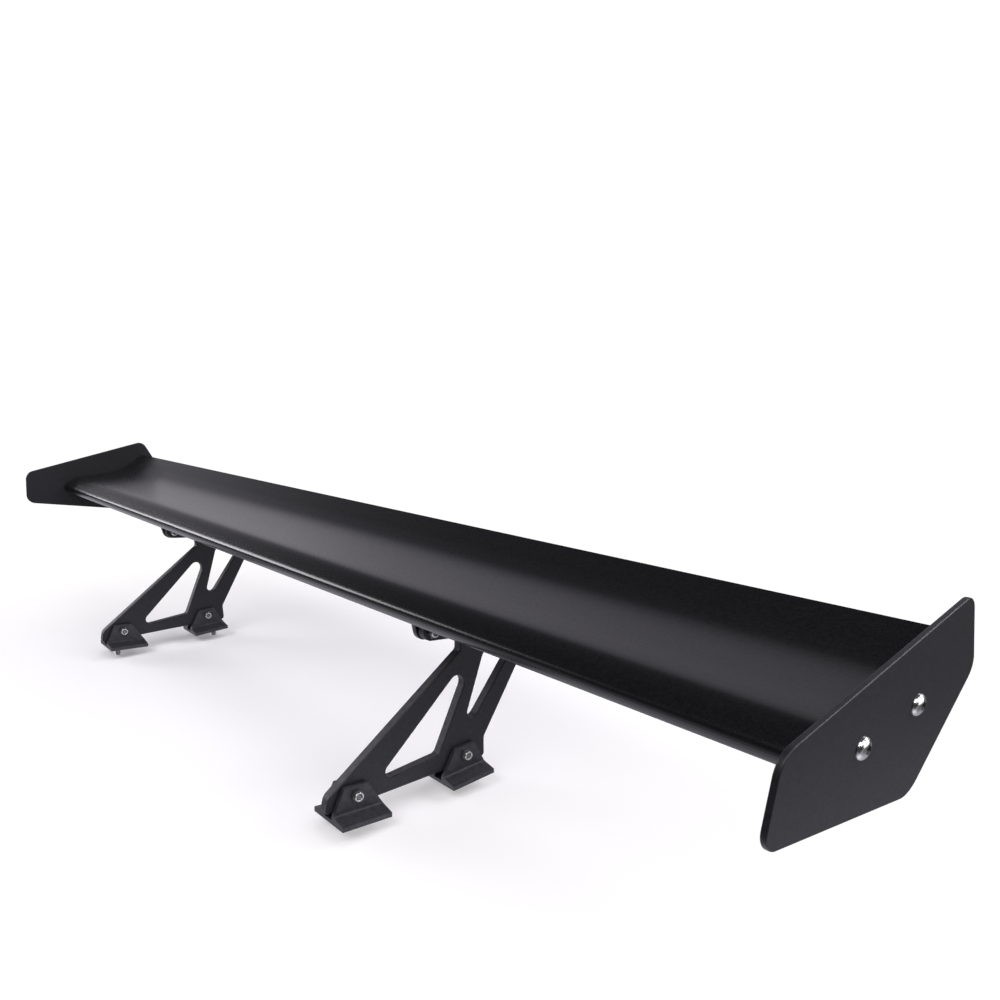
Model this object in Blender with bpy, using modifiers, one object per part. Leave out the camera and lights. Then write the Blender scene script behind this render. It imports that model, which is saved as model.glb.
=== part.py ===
"""Racing rear wing: an extruded blade between two end plates, on two truss legs with swivelling feet.

Metres, +Z up, +X along the span to the left of the car, +Y to the rear of the car.
The origin is on the ground under the middle of the wing, and the wing stands on its four studs.
"""

import math
from collections import namedtuple

import bmesh
import bpy
import numpy as np
from mathutils import Euler, Matrix, Vector

# Overall layout
OVERALL_SPAN = 1.100
LEG_SPACING = 0.484
FOOT_SPACING = 0.095
PIVOT_HEIGHT = 0.0280
FRAME_SHIFT = 0.0258

# Fits
SEAT_GAP = 0.0003
SLOT_CLEARANCE = 0.0003
HOLE_CLEARANCE = 0.0003

# Blade section, along the chord from the nose and above the chord line
CHORD = 0.1138
CHORD_ANGLE = math.radians(18.0)
NOSE_BEHIND_MIDDLE = -0.0079
NOSE_HEIGHT = 0.1481
SKIN = 0.0022
TRAILING_EDGE = 0.0020
TAIL_RISE = 0.0017
UPPER_STATIONS = (0.0003, 0.00105, 0.0026, 0.0060, 0.0110, 0.0165, 0.0215, 0.0285, 0.0460, 0.0650, 0.0790,
                  0.0910, 0.1030)
UPPER_HEIGHTS = (0.00175, 0.0032, 0.00425, 0.0054, 0.0068, 0.0077, 0.0075, 0.0059, 0.0012, -0.0028, -0.0040,
                 -0.0026, 0.0001)
LOWER_STATIONS = (0.00015, 0.0009, 0.0026, 0.0080, 0.0160, 0.0240, 0.0380, 0.0550, 0.0720, 0.0880, 0.1040)
LOWER_HEIGHTS = (-0.0024, -0.0050, -0.0067, -0.0082, -0.00955, -0.0108, -0.01285, -0.0142, -0.0136, -0.0101,
                 -0.0046)
SECTION_STEPS = 3

# Screw ports through the blade, each in a thick web. The front web also takes the front ears' screws
PORT_STATIONS = (0.0196, 0.0675)
PORT_HEIGHTS = (0.0020, -0.0077)
WEB_WIDTH = 0.0124
NOSE_CELL_START = 0.0048
TAIL_CELL_END = 0.0860

# End plates, with each corner measured behind and above the blade's nose
PLATE_THICKNESS = 0.0030
PLATE_FRONT_FOOT = (-0.0488, -0.0147)
PLATE_FRONT_TOP = (-0.0434, 0.0237)
PLATE_REAR_TOP = (0.1113, 0.0556)
PLATE_REAR_KINK = (0.1310, 0.0160)
PLATE_REAR_FOOT = (0.0794, -0.0367)
PLATE_RADII = (0.010, 0.018, 0.010, 0.010, 0.012)

# End plate screws, M6 button heads
PLATE_SCREW_RADIUS = 0.0030
PLATE_SCREW_HEAD_RADIUS = 0.00525
PLATE_SCREW_HEAD_HEIGHT = 0.0033
PLATE_SCREW_LENGTH = 0.0160
SOCKET_ACROSS_FLATS = 0.0040
SOCKET_DEPTH = 0.0020

# Ears under the blade
EAR_STATIONS = {"front": 0.0256, "rear": 0.0940}
PAD_LENGTH = 0.0400
PAD_WIDTH = 0.0170
PAD_THICKNESS = 0.0045
PAD_CORNER = 0.0070
TAB_THICKNESS = 0.0045
TAB_HOLE_HEIGHT = 0.0120
TAB_END_RADIUS = 0.0080
EAR_SCREW_SPACING = 0.0250
EAR_SCREW_RADIUS = 0.0027
EAR_SCREW_HEAD_RADIUS = 0.0058
EAR_SCREW_HEAD_HEIGHT = 0.0030
EAR_SCREW_BITE = 0.0034
EAR_HOLE_SPARE = 0.0004

# M5 bolts and nuts of the ears and the feet
BOLT_RADIUS = 0.0025
BOLT_HEAD_RADIUS = 0.00475
BOLT_HEAD_HEIGHT = 0.0028
BOLT_END = 0.0010
NUT_ACROSS_FLATS = 0.0080
NUT_HEIGHT = 0.0040

# Legs, cut from plate
LEG_THICKNESS = 0.0080
LEG_DROP = 0.0091
LEG_END_RADIUS = 0.0070
TOE_REACH = 0.0225
TOE_LEAN = 0.0030
TOE_RISE = 0.0022
HEEL_REACH = 0.0213
HEEL_RISE = 0.0071
ARM_LENGTH = 0.0246
ARM_FALL = 0.0025
SHOULDER_HEIGHT = 0.0099
POST_WIDTH = 0.0159
SADDLE_DROP = 0.0030
SADDLE_LENGTH = 0.0240
HIP_REACH = 0.0233
HIP_DROP = 0.0461
TOE_RADII = (0.0020, 0.0090)
HEEL_RADII = (0.0030, 0.0040)
HIP_RADIUS = 0.0100
SADDLE_RADIUS = 0.0080
SHOULDER_RADII = (0.0030, 0.0040)

# Windows of the legs, behind and above the pivots, the front ear's bolt and the hip
FRONT_WINDOW_TOE = (0.0170, 0.0003)
FRONT_WINDOW_HEEL = (-0.0219, 0.0049)
FRONT_WINDOW_TOP = (0.0430, -0.0158)
FRONT_WINDOW_RADII = (0.0050, 0.0050, 0.0070)
REAR_WINDOW_FOOT = (-0.0045, 0.0052)
REAR_WINDOW_BACK = (-0.0185, -0.0080)
REAR_WINDOW_TOP = (0.0467, -0.0240)
REAR_WINDOW_RADII = (0.0050, 0.0050, 0.0060)

# Feet
FOOT_LENGTH = 0.0390
FOOT_WIDTH = 0.0380
FOOT_DROP = 0.0180
FOOT_INSET = 0.0020
FOOT_FLOOR = 0.0030
FOOT_FLANGE_EDGE = 0.0035
FOOT_FLANGE_ROOT = 0.0062
EAR_WALL = 0.0032
EAR_RISE = 0.0071
EAR_TOP_LENGTH = 0.0185
FOOT_TILT = {"front": math.radians(-4.0), "rear": math.radians(3.0)}

# Studs, M6 with a small hexagon head held in the foot's slot
STUD_OFFSET = 0.0060
STUD_RADIUS = 0.0030
STUD_HEAD_ACROSS_FLATS = 0.0080
STUD_HEAD_HEIGHT = 0.0030

# Fineness of the rounds
ROUND_STEPS = 16
ARC_STEPS = 5
DOME_STEPS = 3
CELL_STEPS = 9
RIM_SHARE = 0.15
WELD = 0.00001
SHARP_ANGLE = math.radians(35.0)

# Colours, with the roughness of each coat
BLACK = (0.012, 0.012, 0.014)
GLOSS_BLACK = (0.008, 0.008, 0.009)
STEEL = (0.62, 0.62, 0.60)
SATIN_ROUGHNESS = 0.45
SEMI_GLOSS_ROUGHNESS = 0.28
POLISHED_ROUGHNESS = 0.15
ZINC_ROUGHNESS = 0.30

# A flat outline laid on its side, so that it faces along the span
SIDEWAYS = Euler((math.pi / 2.0, 0.0, math.pi / 2.0))
LENGTHWISE = Euler((math.pi / 2.0, 0.0, 0.0))

SIDES = {"left": 1.0, "right": -1.0}
ENDS = {"front": -1.0, "rear": 1.0}

# Collections and materials


def fresh_collection(name):
    collection = bpy.data.collections.new(name)
    bpy.context.scene.collection.children.link(collection)
    return collection


def finish(name, colour, roughness, metallic):
    material = bpy.data.materials.new(name)
    material.use_nodes = True
    shader = material.node_tree.nodes["Principled BSDF"]
    shader.inputs["Base Color"].default_value = (*colour, 1.0)
    shader.inputs["Roughness"].default_value = roughness
    shader.inputs["Metallic"].default_value = metallic
    return material


# Outlines, as lists of points that run anticlockwise


def circle(centre, radius, steps=ROUND_STEPS):
    turns = [2.0 * math.pi * i / steps for i in range(steps)]
    return [(centre[0] + radius * math.cos(t), centre[1] + radius * math.sin(t)) for t in turns]


def hexagon(across_flats):
    return circle((0.0, 0.0), across_flats / math.sqrt(3.0), 6)


def corner_arc(before, corner, after, radius):
    """The points of a rounded corner."""
    corner = Vector(corner)
    to_before = (Vector(before) - corner).normalized()
    to_after = (Vector(after) - corner).normalized()
    half_angle = to_before.angle(to_after) / 2.0
    centre = corner + (to_before + to_after).normalized() * radius / math.sin(half_angle)
    first = corner + to_before * radius / math.tan(half_angle) - centre
    last = corner + to_after * radius / math.tan(half_angle) - centre
    sweep = first.angle_signed(last)
    points = []
    for i in range(ARC_STEPS + 1):
        spoke = Matrix.Rotation(-sweep * i / ARC_STEPS, 2) @ first
        points.append(tuple(centre + spoke))
    return points


def end_arc(before, centre, after, radius):
    """The points of a round end whose edges come from one point and leave for another."""
    to_before = Vector(before) - Vector(centre)
    to_after = Vector(after) - Vector(centre)
    start = math.atan2(to_before.y, to_before.x) + math.acos(radius / to_before.length)
    end = math.atan2(to_after.y, to_after.x) - math.acos(radius / to_after.length)
    sweep = (end - start) % (2.0 * math.pi)
    steps = 2 * ARC_STEPS
    turns = [start + sweep * i / steps for i in range(steps + 1)]
    return [(centre[0] + radius * math.cos(t), centre[1] + radius * math.sin(t)) for t in turns]


Corner = namedtuple("Corner", "point radius")
End = namedtuple("End", "point radius")


def rounded(path):
    """A closed outline from rounded corners and round ends."""
    last = len(path) - 1
    ends = {}
    for i, bend in enumerate(path):
        if isinstance(bend, End):
            after = path[0 if i == last else i + 1].point
            ends[i] = end_arc(path[i - 1].point, bend.point, after, bend.radius)
    outline = []
    for i, bend in enumerate(path):
        before = last if i == 0 else i - 1
        after = 0 if i == last else i + 1
        from_point = ends[before][-1] if before in ends else path[before].point
        to_point = ends[after][0] if after in ends else path[after].point
        outline += ends[i] if i in ends else corner_arc(from_point, bend.point, to_point, bend.radius)
    return outline


def along(point, angle, distance):
    return (point[0] + distance * math.cos(angle), point[1] + distance * math.sin(angle))


def shifted(point, offset):
    return (point[0] + offset[0], point[1] + offset[1])


# Solids


def prism(name, outlines, depth):
    """A flat piece whose first outline is its edge and whose other outlines are holes."""
    curve = bpy.data.curves.new(name, "CURVE")
    curve.dimensions = "2D"
    curve.fill_mode = "BOTH"
    curve.extrude = depth / 2.0
    for outline in outlines:
        spline = curve.splines.new("POLY")
        spline.points.add(len(outline) - 1)
        spline.use_cyclic_u = True
        for point, (across, up) in zip(spline.points, outline):
            point.co = (across, up, 0.0, 1.0)
    drawing = bpy.data.objects.new(name, curve)
    bpy.context.scene.collection.objects.link(drawing)
    mesh = bpy.data.meshes.new_from_object(drawing.evaluated_get(bpy.context.evaluated_depsgraph_get()))
    bpy.data.objects.remove(drawing)
    bpy.data.curves.remove(curve)
    shape = bmesh.new()
    shape.from_mesh(mesh)
    bmesh.ops.remove_doubles(shape, verts=shape.verts, dist=WELD)
    bmesh.ops.recalc_face_normals(shape, faces=shape.faces)
    shape.to_mesh(mesh)
    shape.free()
    return bpy.data.objects.new(name, mesh)


def turned(name, profile):
    """A round piece about its own Z, from (radius, height) points that run from the top to the bottom."""
    mesh = bpy.data.meshes.new(name)
    points = [(radius, 0.0, height) for radius, height in profile]
    mesh.from_pydata(points, [(i, i + 1) for i in range(len(points) - 1)], [])
    piece = bpy.data.objects.new(name, mesh)
    screw = piece.modifiers.new("turn", "SCREW")
    screw.steps = ROUND_STEPS
    screw.render_steps = ROUND_STEPS
    screw.use_merge_vertices = True
    screw.merge_threshold = WELD
    return piece


def dome(radius, height):
    """The (radius, height) points of a domed head, from its crown to its rim."""
    rim = height * RIM_SHARE
    turns = [math.pi / 2.0 * (1.0 - i / DOME_STEPS) for i in range(DOME_STEPS + 1)]
    return [(radius * math.cos(t), rim + (height - rim) * math.sin(t)) for t in turns] + [(radius, 0.0)]


def screw_piece(name, head_radius, head_height, shank_radius, length):
    """A domed screw whose head sits on height zero and whose shank points down."""
    shank = [(shank_radius, 0.0), (shank_radius, -length), (0.0, -length)]
    return turned(name, dome(head_radius, head_height) + shank)


def rod(name, radius, length):
    """A plain cylinder about its own Z."""
    return prism(name, [circle((0.0, 0.0), radius)], length)


class Assembly:
    """Keeps the finished pieces and the cutters in their collections, on their carriers."""

    def __init__(self):
        self.pieces = fresh_collection("racing_rear_wing")
        self.cutters = fresh_collection("cutters")
        self.frame = self.carrier("wing_frame", None, (0.0, -FRAME_SHIFT, 0.0))

    def carrier(self, name, parent, place, tilt=0.0):
        empty = bpy.data.objects.new(name, None)
        self.pieces.objects.link(empty)
        empty.parent = parent
        empty.location = place
        empty.rotation_euler = (tilt, 0.0, 0.0)
        return empty

    def add(self, piece, carrier, material, place, turn=(0.0, 0.0, 0.0)):
        self.pieces.objects.link(piece)
        piece.parent = carrier
        piece.location = place
        piece.rotation_euler = turn
        piece.data.materials.append(material)
        piece.data.shade_smooth()
        piece.data.set_sharp_from_angle(angle=SHARP_ANGLE)
        return piece

    def work(self, piece, tool, operation, carrier, place, turn=(0.0, 0.0, 0.0)):
        """Cuts, joins or trims a piece with a hidden tool."""
        self.cutters.objects.link(tool)
        tool.parent = carrier
        tool.location = place
        tool.rotation_euler = turn
        tool.hide_render = True
        tool.display_type = "WIRE"
        boolean = piece.modifiers.new(tool.name, "BOOLEAN")
        boolean.operation = operation
        boolean.solver = "EXACT"
        boolean.object = tool


# Blade


def smooth_line(stations, heights):
    """A smooth line through the given points, as many small steps."""
    points = np.column_stack([stations, heights])
    padded = np.vstack([2.0 * points[0] - points[1], points, 2.0 * points[-1] - points[-2]])
    line = []
    for p0, p1, p2, p3 in zip(padded, padded[1:], padded[2:], padded[3:]):
        for i in range(SECTION_STEPS):
            t = i / SECTION_STEPS
            bend = (2.0 * p0 - 5.0 * p1 + 4.0 * p2 - p3) * t**2
            twist = (3.0 * p1 - p0 - 3.0 * p2 + p3) * t**3
            line.append(0.5 * (2.0 * p1 + (p2 - p0) * t + bend + twist))
    line.append(points[-1])
    return np.array(line)


def section_lines():
    """The upper and lower lines of the blade, from the nose to the trailing edge."""
    tail = TRAILING_EDGE / 2.0
    upper = smooth_line((0.0, *UPPER_STATIONS, CHORD), (0.0, *UPPER_HEIGHTS, TAIL_RISE + tail))
    lower = smooth_line((0.0, *LOWER_STATIONS, CHORD), (0.0, *LOWER_HEIGHTS, TAIL_RISE - tail))
    return upper, lower


def height_at(line, station):
    return float(np.interp(station, line[:, 0], line[:, 1]))


def slope_at(line, station):
    step = CHORD / 100.0
    rise = height_at(line, station + step) - height_at(line, station - step)
    return math.atan2(rise, 2.0 * step)


def on_wing(station, height):
    """A point of the section as (distance behind the middle, height above the ground)."""
    nose = (NOSE_BEHIND_MIDDLE, NOSE_HEIGHT)
    chord_point = along(nose, CHORD_ANGLE, station)
    return along(chord_point, CHORD_ANGLE + math.pi / 2.0, height)


def cell(upper, lower, start, end):
    """A hollow between two webs, one skin inside the section."""
    stations = np.linspace(start, end, CELL_STEPS)
    floor = [(s, height_at(lower, s) + SKIN / math.cos(slope_at(lower, s))) for s in stations]
    roof = [(s, height_at(upper, s) - SKIN / math.cos(slope_at(upper, s))) for s in stations]
    return floor + roof[::-1]


def ear_seat(end):
    """The seat of an ear on the blade's underside: its point and the slope of the surface there."""
    lower = section_lines()[1]
    station = EAR_STATIONS[end]
    slope = CHORD_ANGLE + slope_at(lower, station)
    return on_wing(station, height_at(lower, station)), slope


def ear_point(end, depth):
    """A point straight out from an ear's seat."""
    seat, slope = ear_seat(end)
    return along(seat, slope - math.pi / 2.0, depth)


def ear_bolt_point(end):
    return ear_point(end, SEAT_GAP + PAD_THICKNESS + TAB_HOLE_HEIGHT)


def ear_screw_places(side):
    middle = leg_middle(side) - tab_offset()
    return {"inner": middle - SIDES[side] * EAR_SCREW_SPACING / 2.0,
            "outer": middle + SIDES[side] * EAR_SCREW_SPACING / 2.0}


def leg_middle(side):
    return SIDES[side] * LEG_SPACING / 2.0


def tab_offset():
    """How far the ear's tab stands beside the middle of the leg."""
    return (LEG_THICKNESS + TAB_THICKNESS) / 2.0 + SLOT_CLEARANCE


def blade_length():
    return OVERALL_SPAN - 2.0 * (PLATE_THICKNESS + SEAT_GAP)


def build_blade(assembly, material):
    upper, lower = section_lines()
    edge = [tuple(p) for p in lower] + [tuple(p) for p in upper[:0:-1]]
    half_web = WEB_WIDTH / 2.0
    front_port, rear_port = PORT_STATIONS
    cells = [cell(upper, lower, NOSE_CELL_START, front_port - half_web),
             cell(upper, lower, EAR_STATIONS["front"] + half_web, rear_port - half_web),
             cell(upper, lower, rear_port + half_web, TAIL_CELL_END)]
    port_radius = PLATE_SCREW_RADIUS + HOLE_CLEARANCE
    ports = [circle(port, port_radius) for port in zip(PORT_STATIONS, PORT_HEIGHTS)]
    blade = prism("wing_blade", [edge, *cells, *ports], blade_length())
    turn = (Matrix.Rotation(CHORD_ANGLE, 3, "X") @ SIDEWAYS.to_matrix()).to_euler()
    assembly.add(blade, assembly.frame, material, (0.0, NOSE_BEHIND_MIDDLE, NOSE_HEIGHT), turn)
    for side in SIDES:
        for end in ENDS:
            slope = ear_seat(end)[1]
            for row, across in ear_screw_places(side).items():
                depth = 2.0 * (EAR_SCREW_BITE + EAR_HOLE_SPARE)
                drill = rod(f"drill_{side}_{end}_{row}", EAR_SCREW_RADIUS + HOLE_CLEARANCE, depth)
                assembly.work(blade, drill, "DIFFERENCE", assembly.frame,
                              (across, *ear_point(end, 0.0)), (slope, 0.0, 0.0))


# End plates


def build_end_plates(assembly, plate_material, screw_material):
    corners = (PLATE_FRONT_FOOT, PLATE_REAR_FOOT, PLATE_REAR_KINK, PLATE_REAR_TOP, PLATE_FRONT_TOP)
    places = [shifted(on_wing(0.0, 0.0), corner) for corner in corners]
    edge = rounded([Corner(*bend) for bend in zip(places, PLATE_RADII)])
    ports = [on_wing(*port) for port in zip(PORT_STATIONS, PORT_HEIGHTS)]
    holes = [circle(port, PLATE_SCREW_RADIUS + HOLE_CLEARANCE) for port in ports]
    for side, sign in SIDES.items():
        plate = prism(f"end_plate_{side}", [edge, *holes], PLATE_THICKNESS)
        middle = sign * (OVERALL_SPAN - PLATE_THICKNESS) / 2.0
        assembly.add(plate, assembly.frame, plate_material, (middle, 0.0, 0.0), SIDEWAYS)
        for end, port in zip(ENDS, ports):
            name = f"plate_screw_{side}_{end}"
            screw = screw_piece(name, PLATE_SCREW_HEAD_RADIUS, PLATE_SCREW_HEAD_HEIGHT,
                                PLATE_SCREW_RADIUS, PLATE_SCREW_LENGTH)
            place = (sign * (OVERALL_SPAN / 2.0 + SEAT_GAP), *port)
            turn = (0.0, sign * math.pi / 2.0, 0.0)
            assembly.add(screw, assembly.frame, screw_material, place, turn)
            socket = prism(f"socket_{side}_{end}", [hexagon(SOCKET_ACROSS_FLATS)], 2.0 * SOCKET_DEPTH)
            crown = (place[0] + sign * PLATE_SCREW_HEAD_HEIGHT, *port)
            assembly.work(screw, socket, "DIFFERENCE", assembly.frame, crown, turn)


# Ears


def build_ears(assembly, ear_material, screw_material):
    half_length = PAD_LENGTH / 2.0
    half_width = PAD_WIDTH / 2.0
    corners = [(-half_length, -half_width), (half_length, -half_width),
               (half_length, half_width), (-half_length, half_width)]
    edge = rounded([Corner(corner, PAD_CORNER) for corner in corners])
    screw_hole = EAR_SCREW_RADIUS + HOLE_CLEARANCE
    holes = [circle((s * EAR_SCREW_SPACING / 2.0, 0.0), screw_hole) for s in SIDES.values()]
    hole_height = PAD_THICKNESS + TAB_HOLE_HEIGHT
    root = PAD_THICKNESS / 2.0
    tab_edge = [(-half_width, root), (half_width, root)]
    tab_edge += end_arc(tab_edge[1], (0.0, hole_height), tab_edge[0], TAB_END_RADIUS)
    tab_hole = circle((0.0, hole_height), BOLT_RADIUS + HOLE_CLEARANCE)
    for side in SIDES:
        for end in ENDS:
            slope = ear_seat(end)[1]
            name = f"ear_{side}_{end}"
            across = leg_middle(side) - tab_offset()
            carrier = assembly.carrier(f"{name}_seat", assembly.frame,
                                       (across, *ear_point(end, SEAT_GAP)), slope + math.pi)
            ear = prism(name, [edge, *holes], PAD_THICKNESS)
            assembly.add(ear, carrier, ear_material, (0.0, 0.0, PAD_THICKNESS / 2.0))
            tab = prism(f"{name}_tab", [tab_edge, tab_hole], TAB_THICKNESS)
            assembly.work(ear, tab, "UNION", carrier, (0.0, 0.0, 0.0), SIDEWAYS)
            for row, place in ear_screw_places(side).items():
                screw = screw_piece(f"ear_screw_{side}_{end}_{row}", EAR_SCREW_HEAD_RADIUS,
                                    EAR_SCREW_HEAD_HEIGHT, EAR_SCREW_RADIUS,
                                    PAD_THICKNESS + 2.0 * SEAT_GAP + EAR_SCREW_BITE)
                head = (place - across, 0.0, PAD_THICKNESS + SEAT_GAP)
                assembly.add(screw, carrier, screw_material, head)


# Bolts that run across the car, with their nuts on the left


def build_cross_bolt(assembly, material, names, start, end, point):
    """A bolt whose head seats at one place along X and whose nut seats at another."""
    turn = (0.0, -math.pi / 2.0, 0.0)
    grip = end - start + 2.0 * SEAT_GAP
    bolt = screw_piece(names[0], BOLT_HEAD_RADIUS, BOLT_HEAD_HEIGHT, BOLT_RADIUS,
                       grip + NUT_HEIGHT + BOLT_END)
    assembly.add(bolt, assembly.frame, material, (start - SEAT_GAP, *point), turn)
    nut = prism(names[1], [hexagon(NUT_ACROSS_FLATS), circle((0.0, 0.0), BOLT_RADIUS + HOLE_CLEARANCE)],
                NUT_HEIGHT)
    assembly.add(nut, assembly.frame, material, (end + SEAT_GAP + NUT_HEIGHT / 2.0, *point), SIDEWAYS)


# Legs


def pivot(end):
    """The foot pivot of a leg as (distance behind the middle, height above the ground)."""
    return (ENDS[end] * FOOT_SPACING / 2.0, PIVOT_HEIGHT)


def leg_hip():
    """The rearmost corner of a leg, set out from the rear ear's bolt."""
    return shifted(ear_bolt_point("rear"), (HIP_REACH, -HIP_DROP))


def leg_edge():
    front_bolt, rear_bolt = ear_bolt_point("front"), ear_bolt_point("rear")
    bottom = PIVOT_HEIGHT - LEG_DROP
    toe_low = (pivot("front")[0] - TOE_REACH, bottom)
    toe_high = (toe_low[0] + TOE_LEAN, PIVOT_HEIGHT + TOE_RISE)
    heel_low = (pivot("rear")[0] + HEEL_REACH, bottom)
    heel_high = (heel_low[0], PIVOT_HEIGHT + HEEL_RISE)
    saddle_rear = (rear_bolt[0] - POST_WIDTH, front_bolt[1] - SADDLE_DROP)
    saddle_front = (saddle_rear[0] - SADDLE_LENGTH, saddle_rear[1])
    shoulder_high = (front_bolt[0] + ARM_LENGTH, front_bolt[1] - LEG_END_RADIUS - ARM_FALL)
    shoulder_low = (shoulder_high[0], shoulder_high[1] - SHOULDER_HEIGHT)
    return rounded([
        Corner(toe_low, TOE_RADII[0]), Corner(heel_low, HEEL_RADII[0]),
        Corner(heel_high, HEEL_RADII[1]), Corner(leg_hip(), HIP_RADIUS), End(rear_bolt, LEG_END_RADIUS),
        Corner(saddle_rear, SADDLE_RADIUS), Corner(saddle_front, SADDLE_RADIUS),
        End(front_bolt, LEG_END_RADIUS), Corner(shoulder_high, SHOULDER_RADII[0]),
        Corner(shoulder_low, SHOULDER_RADII[1]), Corner(toe_high, TOE_RADII[1]),
    ])


def leg_windows():
    front_bolt = ear_bolt_point("front")
    front = (shifted(pivot("front"), FRONT_WINDOW_TOE), shifted(pivot("rear"), FRONT_WINDOW_HEEL),
             shifted(front_bolt, FRONT_WINDOW_TOP))
    rear = (shifted(pivot("rear"), REAR_WINDOW_FOOT), shifted(leg_hip(), REAR_WINDOW_BACK),
            shifted(front_bolt, REAR_WINDOW_TOP))
    return [rounded([Corner(*bend) for bend in zip(front, FRONT_WINDOW_RADII)]),
            rounded([Corner(*bend) for bend in zip(rear, REAR_WINDOW_RADII)])]


def build_legs(assembly, leg_material, bolt_material):
    bolt_points = {f"ear_{end}": ear_bolt_point(end) for end in ENDS}
    bolt_points.update({f"foot_{end}": pivot(end) for end in ENDS})
    holes = [circle(point, BOLT_RADIUS + HOLE_CLEARANCE) for point in bolt_points.values()]
    half = LEG_THICKNESS / 2.0
    for side in SIDES:
        middle = leg_middle(side)
        leg = prism(f"leg_{side}", [leg_edge(), *leg_windows(), *holes], LEG_THICKNESS)
        assembly.add(leg, assembly.frame, leg_material, (middle, 0.0, 0.0), SIDEWAYS)
        for end in ENDS:
            names = (f"ear_bolt_{side}_{end}", f"ear_nut_{side}_{end}")
            tab_face = middle - tab_offset() - TAB_THICKNESS / 2.0
            build_cross_bolt(assembly, bolt_material, names, tab_face, middle + half, ear_bolt_point(end))
            names = (f"foot_bolt_{side}_{end}", f"foot_nut_{side}_{end}")
            reach = half + SLOT_CLEARANCE + EAR_WALL
            build_cross_bolt(assembly, bolt_material, names, middle - reach, middle + reach, pivot(end))


# Feet and studs


def foot_section():
    """The foot's outline as seen along the car, about its pivot."""
    half = FOOT_WIDTH / 2.0
    slot = LEG_THICKNESS / 2.0 + SLOT_CLEARANCE
    wall = slot + EAR_WALL
    base = -FOOT_DROP
    right = [(half, base), (half, base + FOOT_FLANGE_EDGE), (wall, base + FOOT_FLANGE_ROOT),
             (wall, EAR_RISE), (slot, EAR_RISE), (slot, base + FOOT_FLOOR)]
    return right + [(-across, up) for across, up in reversed(right)]


def base_middle(end):
    """How far behind the pivot the middle of the foot's base lies."""
    return -ENDS[end] * FOOT_INSET


def foot_side(end):
    """The foot's outline as seen from the side, about its pivot."""
    half = FOOT_LENGTH / 2.0
    top = EAR_TOP_LENGTH / 2.0
    shoulder = FOOT_FLANGE_ROOT - FOOT_DROP
    front, rear = base_middle(end) - half, base_middle(end) + half
    return [(front, -FOOT_DROP), (rear, -FOOT_DROP), (rear, shoulder), (top, EAR_RISE), (-top, EAR_RISE),
            (front, shoulder)]


def stud_tip(end):
    """How far below the pivot the stud ends, so that its rim meets the ground."""
    tilt = FOOT_TILT[end]
    lift = ENDS[end] * STUD_OFFSET * math.sin(tilt) - STUD_RADIUS * abs(math.sin(tilt))
    return (PIVOT_HEIGHT + lift) / math.cos(tilt)


def build_feet(assembly, foot_material, stud_material):
    reach = 2.0 * FOOT_WIDTH
    for side in SIDES:
        for end, sign in ENDS.items():
            name = f"foot_{side}_{end}"
            carrier = assembly.carrier(f"{name}_pivot", assembly.frame,
                                       (leg_middle(side), *pivot(end)), FOOT_TILT[end])
            foot = prism(name, [foot_section()], FOOT_LENGTH)
            assembly.add(foot, carrier, foot_material, (0.0, base_middle(end), 0.0), LENGTHWISE)
            trim = prism(f"{name}_trim", [foot_side(end)], reach)
            assembly.work(foot, trim, "INTERSECT", carrier, (0.0, 0.0, 0.0), SIDEWAYS)
            bore = rod(f"{name}_bore", BOLT_RADIUS + HOLE_CLEARANCE, reach)
            assembly.work(foot, bore, "DIFFERENCE", carrier, (0.0, 0.0, 0.0), SIDEWAYS)
            stud_place = (0.0, sign * STUD_OFFSET, FOOT_FLOOR - FOOT_DROP)
            hole = rod(f"{name}_hole", STUD_RADIUS + HOLE_CLEARANCE, 3.0 * FOOT_FLOOR)
            assembly.work(foot, hole, "DIFFERENCE", carrier, stud_place)
            build_stud(assembly, stud_material, f"stud_{side}_{end}", carrier, stud_place, stud_tip(end))


def build_stud(assembly, material, name, carrier, place, tip):
    """A stud whose head rests on the floor of the foot's slot and whose end reaches the ground."""
    head_base = place[2] + SEAT_GAP
    head = prism(name, [hexagon(STUD_HEAD_ACROSS_FLATS)], STUD_HEAD_HEIGHT)
    head_place = (place[0], place[1], head_base + STUD_HEAD_HEIGHT / 2.0)
    assembly.add(head, carrier, material, head_place, (0.0, 0.0, math.pi / 2.0))
    top = head_base + STUD_HEAD_HEIGHT / 2.0
    shank = rod(f"{name}_shank", STUD_RADIUS, top + tip)
    assembly.work(head, shank, "UNION", carrier, (place[0], place[1], (top - tip) / 2.0))


def main():
    for leftover in list(bpy.data.objects):
        bpy.data.objects.remove(leftover)
    assembly = Assembly()
    blade_black = finish("blade_black", BLACK, SATIN_ROUGHNESS, 0.0)
    plate_black = finish("plate_black", BLACK, SATIN_ROUGHNESS, 0.0)
    ear_black = finish("ear_black", GLOSS_BLACK, SEMI_GLOSS_ROUGHNESS, 0.0)
    leg_black = finish("leg_black", BLACK, SATIN_ROUGHNESS, 0.0)
    foot_black = finish("foot_black", BLACK, SATIN_ROUGHNESS, 0.0)
    plate_screw_chrome = finish("plate_screw_chrome", STEEL, POLISHED_ROUGHNESS, 1.0)
    ear_screw_chrome = finish("ear_screw_chrome", STEEL, POLISHED_ROUGHNESS, 1.0)
    bolt_zinc = finish("bolt_zinc", STEEL, ZINC_ROUGHNESS, 1.0)
    stud_zinc = finish("stud_zinc", STEEL, ZINC_ROUGHNESS, 1.0)
    build_blade(assembly, blade_black)
    build_end_plates(assembly, plate_black, plate_screw_chrome)
    build_ears(assembly, ear_black, ear_screw_chrome)
    build_legs(assembly, leg_black, bolt_zinc)
    build_feet(assembly, foot_black, stud_zinc)


main()
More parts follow.
